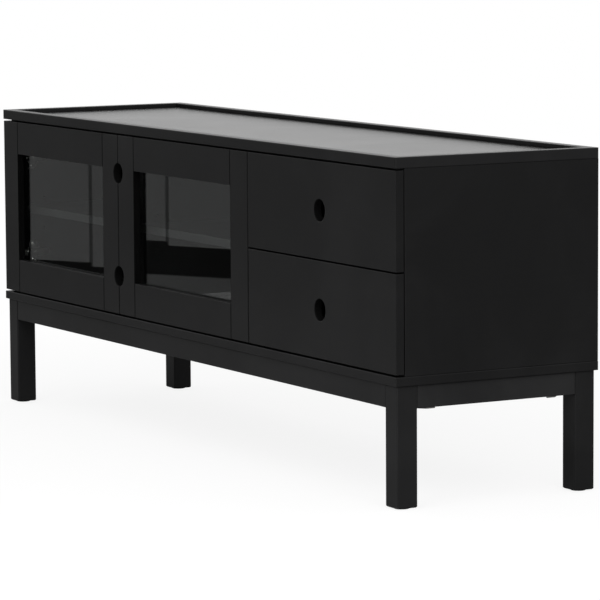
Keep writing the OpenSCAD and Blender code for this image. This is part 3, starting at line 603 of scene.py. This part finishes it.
def add_piece(name, grids, body, material):
    """Makes a piece of several forms, with a finish and a material slot, and lets it ride on a body."""
    made = surface(name, grids)
    made.data.materials.append(material)
    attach(made, body)
    return made


# ----- operators -----


class CABINET_OT_paint_carcass(bpy.types.Operator):
    """Satin black paint on the tray top, the sides, the slab and the stand, with lighter copies on the
    stand and the short rails as painted light
    """

    bl_idname = "cabinet.paint_carcass"
    bl_label = "Paint carcass and stand"

    def execute(self, context):
        finish = context.scene.cabinet_finish
        panel = tuple(finish.paint_colour)
        # Painted light: a lighter copy of the paint for the stand, lit from the bright floor below
        stand = toned(panel, finish.stand_lit_tone)
        # Painted light: lighter copies again for the short rails and aprons, which face the sides
        lit_short_rail, lit_short_apron = (toned(colour, finish.short_lit_tone) for colour in (panel, stand))
        rough = finish.paint_roughness
        cover(["top_panel"], paint_material("Tray floor paint", finish, "x", panel, rough - 0.10, dust=0.02,
                                            patchy=0.05, gloss=0.75))
        cover(["top_rim_front", "top_rim_back", "base_slab"],
              paint_material("Long rail paint", finish, "x", panel, rough, dust=0.03))
        cover(["side_left", "side_right"],
              paint_material("Side panel paint", finish, "y", panel, rough + 0.02))
        legs = [f"leg_{end}_{side}" for end in ("front", "back") for side in SIDES]
        for name, along, colour, nodes in (
                ("Short rail paint", "y", lit_short_rail, ("top_rim_left", "top_rim_right")),
                ("Long apron paint", "x", stand, ("apron_front", "apron_back_rail")),
                ("Short apron paint", "y", lit_short_apron, ("apron_left", "apron_right")),
                ("Leg paint", "z", stand, legs)):
            cover(nodes, paint_material(name, finish, along, colour, rough))
        return {"FINISHED"}


class CABINET_OT_paint_fronts(bpy.types.Operator):
    """Satin black paint on the door frames and drawer fronts"""

    bl_idname = "cabinet.paint_fronts"
    bl_label = "Paint fronts"

    def execute(self, context):
        finish = context.scene.cabinet_finish
        colour = tuple(finish.paint_colour)
        rough = finish.paint_roughness
        low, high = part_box("left_door_meeting_stile")
        meeting = (high[0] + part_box("right_door_meeting_stile")[0][0]) / 2
        door_holes = (meeting, low[2] + FINGER_END, high[2] - FINGER_END)
        for side in SIDES:
            stiles = [f"{side}_door_{part}_stile" for part in ("hinge", "meeting")]
            rails = [f"{side}_door_{part}_rail" for part in ("top", "bottom")]
            first, second = sorted((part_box(stile) for stile in stiles), key=lambda box: box[0][0])
            joints = (first[1][0], second[0][0])
            cover(stiles, paint_material(f"{side} stile paint", finish, "z", colour, rough, joints=joints,
                                         holes=door_holes))
            cover(rails, paint_material(f"{side} rail paint", finish, "x", colour, rough, joints=joints))
        drawers = [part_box(f"{level}_drawer_front") for level in LEVELS]
        middle = (drawers[0][0][0] + drawers[0][1][0]) / 2
        drawer_holes = (middle, *((low[2] + high[2]) / 2 for low, high in drawers))
        cover(["upper_drawer_front", "lower_drawer_front"],
              paint_material("Drawer front paint", finish, "x", colour, rough, holes=drawer_holes))
        return {"FINISHED"}


class CABINET_OT_finish_inside(bpy.types.Operator):
    """Matt boards inside the bays, hardboard backs, drawer boxes and dowels"""

    bl_idname = "cabinet.finish_inside"
    bl_label = "Finish inside"

    def execute(self, context):
        finish = context.scene.cabinet_finish
        inside = tuple(finish.inside_colour)
        cover(["partition", "divider", "top_rails"], board_material("Inside board", inside, 0.7))
        cover(["shelves"], board_material("Shelf board", inside, 0.6, front=tuple(finish.strip_colour)))
        cover(["back_panel_left", "back_panel_right"],
              board_material("Hardboard back", HARDBOARD_COLOUR, 0.7, fibre=0.05))
        boxes = [f"{level}_drawer_{part}" for level in LEVELS for part in ("sides", "back", "bottom")]
        cover(boxes, board_material("Drawer board", tuple(finish.drawer_colour), 0.5))
        cover(["dowels"], wood_material("Dowel beech"))
        return {"FINISHED"}


class CABINET_OT_glaze_doors(bpy.types.Operator):
    """Clear glass in both doors"""

    bl_idname = "cabinet.glaze_doors"
    bl_label = "Glaze doors"

    def execute(self, context):
        glass = glass_material("Door glass", tuple(context.scene.cabinet_finish.glass_colour))
        cover(["left_door_glass", "right_door_glass"], glass)
        return {"FINISHED"}


class CABINET_OT_finish_fittings(bpy.types.Operator):
    """Plated steel on hinges, runners, braces and pins, moulded plastic on clips, glides and bumpers"""

    bl_idname = "cabinet.finish_fittings"
    bl_label = "Finish fittings"

    def execute(self, context):
        finish = context.scene.cabinet_finish
        steel = tuple(finish.steel_colour)
        hinges = [f"{side}_hinge_{part}" for side in SIDES for part in ("arms", "links", "cups")]
        cover(hinges + ["shelf_pins"], steel_material("Hinge nickel", steel, 0.26, "z"))
        runners = [f"{level}_runner_{part}_members" for level in LEVELS for part in ("mid", "drawer")]
        cover(runners + ["runner_cabinet_members"],
              steel_material("Runner zinc", toned(steel, 0.9), 0.36, "y"))
        cover(["corner_braces", "brace_bolts"], steel_material("Brace zinc", toned(steel, 0.5), 0.42, "z"))
        plastic = plastic_material("Moulded plastic", tuple(finish.plastic_colour), 0.45)
        cover(["left_door_clips", "right_door_clips", "leg_glides", "bumpers"], plastic)
        return {"FINISHED"}


# Screw heads: radius, then the height of a low and of a high one, each with the depth of its cross
HEAD_RADIUS = 3.7 * MM
LOW_HEAD, HIGH_HEAD = (2.3 * MM, 1.05 * MM), (2.75 * MM, 1.1 * MM)
# Hinges: a hinge's middle from the end of the arms' box. Screws of a cup, of a plate's wings and of the arm
# over it: in from the door's edge or back from the door, how far apart, and their seat
HINGE_END = 24.0 * MM
CUP_INSET, CUP_SPREAD, CUP_SEAT = 26.5 * MM, 25.5 * MM, 1.0 * MM
PLATE_DEPTH, WING_SPREAD, WING_SEAT = 39.5 * MM, 16.0 * MM, 2.0 * MM
ARM_SPREAD, ARM_SEAT = 16.0 * MM, 14.0 * MM
# Glass clips: screw from a clip's end, from a corner up a stile, from the middle along a rail; its seat
CLIP_END, CLIP_RISE, CLIP_SPREAD, CLIP_SEAT = 6.0 * MM, 56.0 * MM, 80.0 * MM, 1.6 * MM
# Corner braces: screws from a brace's ends; from the leg's outer faces along a flange, and to its face
BRACE_END, BRACE_REACH, BRACE_FACE = 10.0 * MM, 78.0 * MM, 21.0 * MM
# How fast the crosses turn from screw to screw, in radians per metre
CUP_SPIN, WING_SPIN, ARM_SPIN, BRACE_SPIN = 900.0, 700.0, 300.0, 400.0
CLIP_SPIN_ACROSS, CLIP_SPIN_UP = 31.0, 170.0


class CABINET_OT_add_screws(bpy.types.Operator):
    """Cross-recess screws of hinge cups, mounting plates, arms, glass clips and braces"""

    bl_idname = "cabinet.add_screws"
    bl_label = "Add screws"

    def execute(self, context):
        steel = steel_material("Screw nickel", tuple(context.scene.cabinet_finish.steel_colour), 0.24, "y")
        low_head, high_head = (screw_head(HEAD_RADIUS, *sizes) for sizes in (LOW_HEAD, HIGH_HEAD))
        for side, way in zip(SIDES, (1.0, -1.0)):
            stile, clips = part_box(f"{side}_door_hinge_stile"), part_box(f"{side}_door_clips")
            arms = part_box(f"{side}_hinge_arms")
            edge, board = (stile[0][0], arms[0][0]) if way > 0 else (stile[1][0], arms[1][0])
            back = stile[1][1]
            levels = (arms[0][2] + HINGE_END, arms[1][2] - HINGE_END)
            places = self.cup_places(edge, way, back, levels) + self.clip_places(clips, back)
            heads = set_at(low_head, places)
            add_piece(f"{side}_door_screws", heads, f"{side}_door", steel)
            high, low = self.plate_places(board, way, back + PLATE_DEPTH, levels)
            heads = np.concatenate([set_at(high_head, high), set_at(low_head, low)])
            add_piece(f"{side}_hinge_screws", heads, "cabinet", steel)
        add_piece("brace_screws", set_at(low_head, self.brace_places()), "cabinet", steel)
        return {"FINISHED"}

    def cup_places(self, edge, way, back, levels):
        """Two beside each cup, on its flange."""
        heights = [level + step for level in levels for step in (-CUP_SPREAD, CUP_SPREAD)]
        return [((edge + way * CUP_INSET, back + CUP_SEAT, z), (0, 1, 0), CUP_SPIN * z) for z in heights]

    def clip_places(self, clips, back):
        """One in the free end of each clip: two clips up each stile, two along each rail."""
        (left, _, down), (right, _, up) = np.array(clips) + np.array([[CLIP_END], [-CLIP_END]])
        middle = (left + right) / 2
        spots = [(x, z) for x in (left, right) for z in (down + CLIP_RISE, up - CLIP_RISE)]
        spots += [(middle + step, z) for step in (-CLIP_SPREAD, CLIP_SPREAD) for z in (down, up)]
        return [((x, back + CLIP_SEAT, z), (0, 1, 0), CLIP_SPIN_ACROSS * x + CLIP_SPIN_UP * z)
                for x, z in spots]

    def plate_places(self, board, way, depth, levels):
        """Two in each mounting plate's wings, and two in the arm over it."""
        heights = [level + step for level in levels for step in (-WING_SPREAD, WING_SPREAD)]
        wings = [((board + way * WING_SEAT, depth, z), (way, 0, 0), WING_SPIN * z) for z in heights]
        arms = [((board + way * ARM_SEAT, depth - step, level), (way, 0, 0), ARM_SPIN * (level + step))
                for level in levels for step in (0.0, ARM_SPREAD)]
        return wings, arms

    def brace_places(self):
        """Two in each flange of the corner braces, on its inner face."""
        low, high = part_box("corner_braces")
        outer = [abs(value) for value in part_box("leg_front_left")[0][:2]]
        heights = (low[2] + BRACE_END, high[2] - BRACE_END)
        places = []
        for sx, sy, z, side in itertools.product((-1, 1), (-1, 1), heights, (0, 1)):
            spot = [value - BRACE_REACH for value in outer]
            spot[side] = outer[side] - BRACE_FACE
            axis = [0.0, 0.0, 0.0]
            axis[side] = -(sx, sy)[side]
            places.append(((sx * spot[0], sy * spot[1], z), axis, BRACE_SPIN * z + side))
        return places


# Hanger bolts: radius, both ends from the leg's inner corner, pitch and depth of the thread
BOLT_RADIUS, BOLT_ENDS, BOLT_PITCH, THREAD_DEPTH = 4.0 * MM, (-4.0 * MM, 22.5 * MM), 1.25 * MM, 0.55 * MM
WASHER_HEIGHTS = np.array([8.5, 8.5, 8.7, 9.9, 10.1, 10.1, 8.5]) * MM
WASHER_RADII = np.array([4.2, 8.8, 9.0, 9.0, 8.8, 4.2, 4.2]) * MM
# Nut: radius over its corners, length and bore; it seats on the washer
NUT_RADIUS, NUT_LENGTH, NUT_BORE = 7.5 * MM, 6.5 * MM, 3.6 * MM


class CABINET_OT_add_bolts(bpy.types.Operator):
    """Threaded hanger bolts of the corner braces, each with a washer and a hexagon nut"""

    bl_idname = "cabinet.add_bolts"
    bl_label = "Add bolts"

    def execute(self, context):
        zinc = toned(context.scene.cabinet_finish.steel_colour, 0.8)
        steel = steel_material("Bolt zinc", zinc, 0.34, "z")
        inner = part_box("leg_front_left")[1]
        level = sum(corner[2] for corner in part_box("apron_front")) / 2
        places = [((sx * abs(inner[0]), sy * abs(inner[1]), level), (-sx, -sy, 0.0), 0.3 * sx + 0.5 * sy)
                  for sx in (-1, 1) for sy in (-1, 1)]
        rod = thread(BOLT_RADIUS, *BOLT_ENDS, BOLT_PITCH, THREAD_DEPTH)
        piece = add_piece("hanger_bolts", set_at(rod, places), "cabinet", steel)
        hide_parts("brace_bolts")
        washer = turned(WASHER_HEIGHTS, WASHER_RADII, 48)
        add_piece("bolt_washers", set_at(washer, places), "cabinet", steel)
        nut = hexagon_nut(NUT_RADIUS, NUT_LENGTH, NUT_BORE) + np.array([0.0, 0.0, WASHER_HEIGHTS.max()])
        add_piece("bolt_nuts", set_at(nut, places), "cabinet", steel)
        return {"FINISHED"}


# Nails: form of the head; up an upright: in from the edge, from both ends, and how many; along a top rail:
# in from the panel's ends, and how far apart; and how far a nail strays
NAIL_HEIGHTS = np.array([0.0, 0.0, 0.45, 0.62, 0.7, 0.66, 0.66]) * MM
NAIL_RADII = np.array([0.0, 1.7, 1.7, 1.5, 1.1, 0.6, 0.0]) * MM
NAIL_EDGE, NAIL_BOTTOM, NAIL_TOP, NAILS_UP = 5.0 * MM, 22.0 * MM, 45.0 * MM, 5
NAIL_END, NAIL_SPACING, NAIL_DRIFT = 60.0 * MM, 130.0 * MM, 0.9 * MM


class CABINET_OT_add_nails(bpy.types.Operator):
    """Small flat nails that hold the back panels to the uprights and the top rails"""

    bl_idname = "cabinet.add_nails"
    bl_label = "Add nails"

    def execute(self, context):
        bright = toned(context.scene.cabinet_finish.steel_colour, 0.7)
        steel = steel_material("Nail steel", bright, 0.4, "z")
        (left, _, down), (seam, face, up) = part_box("back_panel_left")
        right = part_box("back_panel_right")[1][0]
        middle = sum(corner[0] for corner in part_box("partition")) / 2
        columns = (left + NAIL_EDGE, middle, seam - NAIL_EDGE, seam + NAIL_EDGE, right - NAIL_EDGE)
        spots = list(itertools.product(columns, np.linspace(down + NAIL_BOTTOM, up - NAIL_TOP, NAILS_UP)))
        level = sum(corner[2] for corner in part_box("top_rails")) / 2
        for start, end in ((left, seam), (seam, right)):
            count = round((end - start) / NAIL_SPACING)
            spots += [(x, level) for x in np.linspace(start + NAIL_END, end - NAIL_END, count)]
        drift = [NAIL_DRIFT * math.sin(57.0 * x + 91.0 * z) for x, z in spots]
        places = [((x + off, face, z - 0.7 * off), (0, 1, 0), 0.0) for (x, z), off in zip(spots, drift)]
        head = turned(NAIL_HEIGHTS, NAIL_RADII, 18)
        add_piece("back_nails", set_at(head, places), "cabinet", steel)
        return {"FINISHED"}


# Lamps: name, place, what they point at, width, and the setting that holds their power
LAMPS = (
    ("Main lamp", (1.5, -2.6, 3.0), (0.0, 0.0, 0.3), 2.6, "key_power"),
    ("Side lamp", (3.6, -0.6, 2.2), (0.5, 0.0, 0.3), 2.0, "fill_power"),
    ("Low lamp", (1.25, -1.35, 0.35), (0.6, -0.2, 0.35), 0.7, "low_power"),
)
# Room that gloss sees, by direction: across is y / x, and height is z at length 1. Side of the backdrop,
# shade of the screens from one side to the other, and their seams
BACKDROP_SIDE = (-0.45, 0.80, 0.40)
SCREEN_SIDES, SCREEN_SHADES = (0.34, 0.70), (0.74, 1.26)
SCREEN_SEAMS, SEAM_HALF, SEAM_SHADE = (0.48985, 0.5163), 0.0004, 0.37
# Foot of the screens and sill of the floor beyond: height at 0 across, slope and blur. Both step between
# the doors, and the foot at each seam
DOOR_GAP, DOOR_STEP = (0.498, 0.502), -0.0081
FOOT_HEIGHT, FOOT_SLOPE, FOOT_BLUR = -0.0690, -0.055, 0.0001
SILL_HEIGHT, SILL_SLOPE, SILL_BLUR = -0.0809, -0.052, 0.0003
FOOT_SEAMS, FOOT_STEP = (0.4899, 0.5163), -0.0011
GAP_SHADE = 0.012
# Floor: cells along a side; where the paper fades, as shares of half its width, and how far it has at the
# start; its own tones, and the one that the camera sees
FLOOR_CELLS = 8
FADE_SIDES, FADE_START = (0.5, 0.95), 0.86
PAPER_TONES, CAMERA_TONE = (0.33, 0.35), 0.97
WHITE = (1.0, 1.0, 1.0, 1.0)


class CABINET_OT_set_stage(bpy.types.Operator):
    """White floor and room, three soft lamps and the camera"""

    bl_idname = "cabinet.set_stage"
    bl_label = "Set stage"

    def execute(self, context):
        stage = context.scene.cabinet_stage
        scene = context.scene
        scene.view_settings.view_transform = "Standard"
        self.make_world(scene, stage)
        self.make_floor(stage)
        for name, place, target, width, power in LAMPS:
            self.make_lamp(name, place, target, width, getattr(stage, power))
        self.make_camera(scene, stage)
        return {"FINISHED"}

    def make_world(self, scene, stage):
        """White backdrop for the camera; gloss also sees the room in front of the cabinet."""
        world = bpy.data.worlds.new("Studio")
        scene.world = world
        world.use_nodes = True
        tree = world.node_tree
        tree.nodes.clear()
        direction = tree.nodes.new("ShaderNodeTexCoord").outputs["Generated"]
        seen, gloss = self.ways_of_seeing(tree)
        strength = mix(tree, gloss, stage.room_light, self.reflected_room(tree, direction, stage), "FLOAT")
        strength = mix(tree, seen, strength, 1.0, "FLOAT")
        light = node(tree, "ShaderNodeBackground", Color=WHITE, Strength=strength)
        tree.links.new(light.outputs[0], tree.nodes.new("ShaderNodeOutputWorld").inputs[0])

    def ways_of_seeing(self, tree):
        """Two masks: rays straight from the camera, also through glass, and rays that come by gloss."""
        ways = node(tree, "ShaderNodeLightPath").outputs
        bounces = calc(tree, "ADD", ways["Glossy Depth"], ways["Diffuse Depth"])
        through = times(tree, ways["Is Transmission Ray"], calc(tree, "LESS_THAN", bounces, 0.5))
        glossed = calc(tree, "GREATER_THAN", ways["Glossy Depth"], 0.5)
        gloss = calc(tree, "MAXIMUM", ways["Is Glossy Ray"], glossed)
        only_gloss = times(tree, gloss, calc(tree, "LESS_THAN", ways["Diffuse Depth"], 0.5))
        return calc(tree, "MAXIMUM", ways["Is Camera Ray"], through), only_gloss

    def reflected_room(self, tree, direction, stage):
        """Room by direction: white backdrop behind, three grey screens with dark seams in front, a dark gap
        under them and the room's floor below. Edges step between the doors, which lean differently."""
        parts = split(tree, direction)
        across, height = calc(tree, "DIVIDE", parts["Y"], parts["X"]), parts["Z"]
        grey = remap(tree, across, *SCREEN_SIDES, *(stage.room_grey * shade for shade in SCREEN_SHADES))
        behind = dot(tree, direction, Vector(BACKDROP_SIDE).normalized())
        screens = remap(tree, behind, 0.0, 0.5, grey, 1.0)
        for seam in SCREEN_SEAMS:
            shade = remap(tree, gap(tree, across, seam), SEAM_HALF, 2 * SEAM_HALF, SEAM_SHADE, 1.0)
            screens = times(tree, screens, shade)
        door = remap(tree, across, *DOOR_GAP, DOOR_STEP, 0.0)
        foot = calc(tree, "MULTIPLY_ADD", across, FOOT_SLOPE, calc(tree, "ADD", door, FOOT_HEIGHT))
        for seam in FOOT_SEAMS:
            step = remap(tree, across, seam - FOOT_BLUR, seam + FOOT_BLUR, 0.0, FOOT_STEP)
            foot = calc(tree, "ADD", foot, step)
        above = remap(tree, calc(tree, "SUBTRACT", height, foot), -FOOT_BLUR, FOOT_BLUR)
        sill = calc(tree, "MULTIPLY_ADD", across, SILL_SLOPE, calc(tree, "ADD", door, SILL_HEIGHT))
        down = calc(tree, "SUBTRACT", height, sill)
        below = remap(tree, down, SILL_BLUR, -SILL_BLUR, GAP_SHADE, stage.far_floor)
        return calc(tree, "MULTIPLY_ADD", screens, above, below)

    def make_floor(self, stage):
        """Sheet of pale paper that the camera sees fade into the backdrop, with the shadow on it."""
        half = stage.floor_half
        steps = np.linspace(-half, half, FLOOR_CELLS + 1)
        grid_x, grid_y = np.meshgrid(steps, steps)
        points = np.stack([grid_x, grid_y, np.zeros_like(grid_x)], -1)
        floor = surface("Floor", points[None], closed=False)
        material, tree, shader, coords = new_material("Floor paper")
        seen = self.ways_of_seeing(tree)[0]
        parts = split(tree, coords)
        wide = calc(tree, "MAXIMUM", calc(tree, "ABSOLUTE", parts["X"]), calc(tree, "ABSOLUTE", parts["Y"]))
        edge = remap(tree, wide, *(half * share for share in FADE_SIDES), FADE_START, 1.0)
        paper = remap(tree, noise(tree, coords, 300.0, 2.0), 0.2, 0.8, *PAPER_TONES)
        tone = mix(tree, seen, paper, CAMERA_TONE, "FLOAT")
        shade = node(tree, "ShaderNodeCombineColor", Red=tone, Green=tone, Blue=tone)
        plug(tree, shader.inputs["Base Color"], shade.outputs[0])
        plug(tree, shader.inputs["Roughness"], 1.0)
        plug(tree, shader.inputs["Specular IOR Level"], 0.0)
        glow = node(tree, "ShaderNodeEmission", Color=WHITE, Strength=1.0)
        mixed = tree.nodes.new("ShaderNodeMixShader")
        ways = (times(tree, seen, edge), shader.outputs[0], glow.outputs[0])
        for socket, value in zip(mixed.inputs, ways):
            plug(tree, socket, value)
        output = next(part for part in tree.nodes if part.type == "OUTPUT_MATERIAL")
        tree.links.new(mixed.outputs[0], output.inputs[0])
        floor.data.materials.append(material)

    def make_lamp(self, name, place, target, size, power):
        """Square area lamp that points at a target."""
        data = bpy.data.lights.new(name, "AREA")
        data.shape = "SQUARE"
        data.size = size
        data.energy = power
        lamp = bpy.data.objects.new(name, data)
        bpy.context.scene.collection.objects.link(lamp)
        aim = Vector(target) - Vector(place)
        lamp.matrix_world = Matrix.Translation(place) @ aim.to_track_quat("-Z", "Y").to_matrix().to_4x4()

    def make_camera(self, scene, stage):
        """Long lens at the right of the front, a little above the top."""
        yaw, pitch, roll = stage.camera_turn
        level = math.cos(pitch)
        ahead = Vector((-math.sin(yaw) * level, math.cos(yaw) * level, -math.sin(pitch)))
        across = Vector((math.cos(yaw), math.sin(yaw), 0.0))
        upward = across.cross(ahead)
        right = math.cos(roll) * across + math.sin(roll) * upward
        top = -math.sin(roll) * across + math.cos(roll) * upward
        data = bpy.data.cameras.new("Camera")
        data.sensor_width = 36.0
        data.lens = stage.lens
        data.clip_end = 100.0
        camera = bpy.data.objects.new("Camera", data)
        scene.collection.objects.link(camera)
        turn = Matrix((right, top, -ahead)).transposed().to_4x4()
        camera.matrix_world = Matrix.Translation(stage.camera_place) @ turn
        scene.camera = camera


class CABINET_PT_panel(bpy.types.Panel):
    """Lists the steps of the cabinet's looks"""

    bl_idname = "CABINET_PT_panel"
    bl_label = "Media cabinet"
    bl_space_type = "VIEW_3D"
    bl_region_type = "UI"
    bl_category = "Cabinet"

    def draw(self, context):
        for step in STEPS:
            self.layout.operator(step.bl_idname)
        for group in (context.scene.cabinet_finish, context.scene.cabinet_stage):
            box = self.layout.box()
            for name in group.__annotations__:
                box.prop(group, name)


STEPS = (
    CABINET_OT_paint_carcass,
    CABINET_OT_paint_fronts,
    CABINET_OT_finish_inside,
    CABINET_OT_glaze_doors,
    CABINET_OT_finish_fittings,
    CABINET_OT_add_screws,
    CABINET_OT_add_bolts,
    CABINET_OT_add_nails,
    CABINET_OT_set_stage,
)
CLASSES = (CabinetFinish, CabinetStage, *STEPS, CABINET_PT_panel)


def register():
    for item in CLASSES:
        bpy.utils.register_class(item)
    bpy.types.Scene.cabinet_finish = PointerProperty(type=CabinetFinish)
    bpy.types.Scene.cabinet_stage = PointerProperty(type=CabinetStage)


def unregister():
    del bpy.types.Scene.cabinet_stage
    del bpy.types.Scene.cabinet_finish
    for item in reversed(CLASSES):
        bpy.utils.unregister_class(item)


def main():
    register()
    for step in STEPS:
        package, name = step.bl_idname.split(".")
        getattr(getattr(bpy.ops, package), name)()


if __name__ == "__main__":
    main()
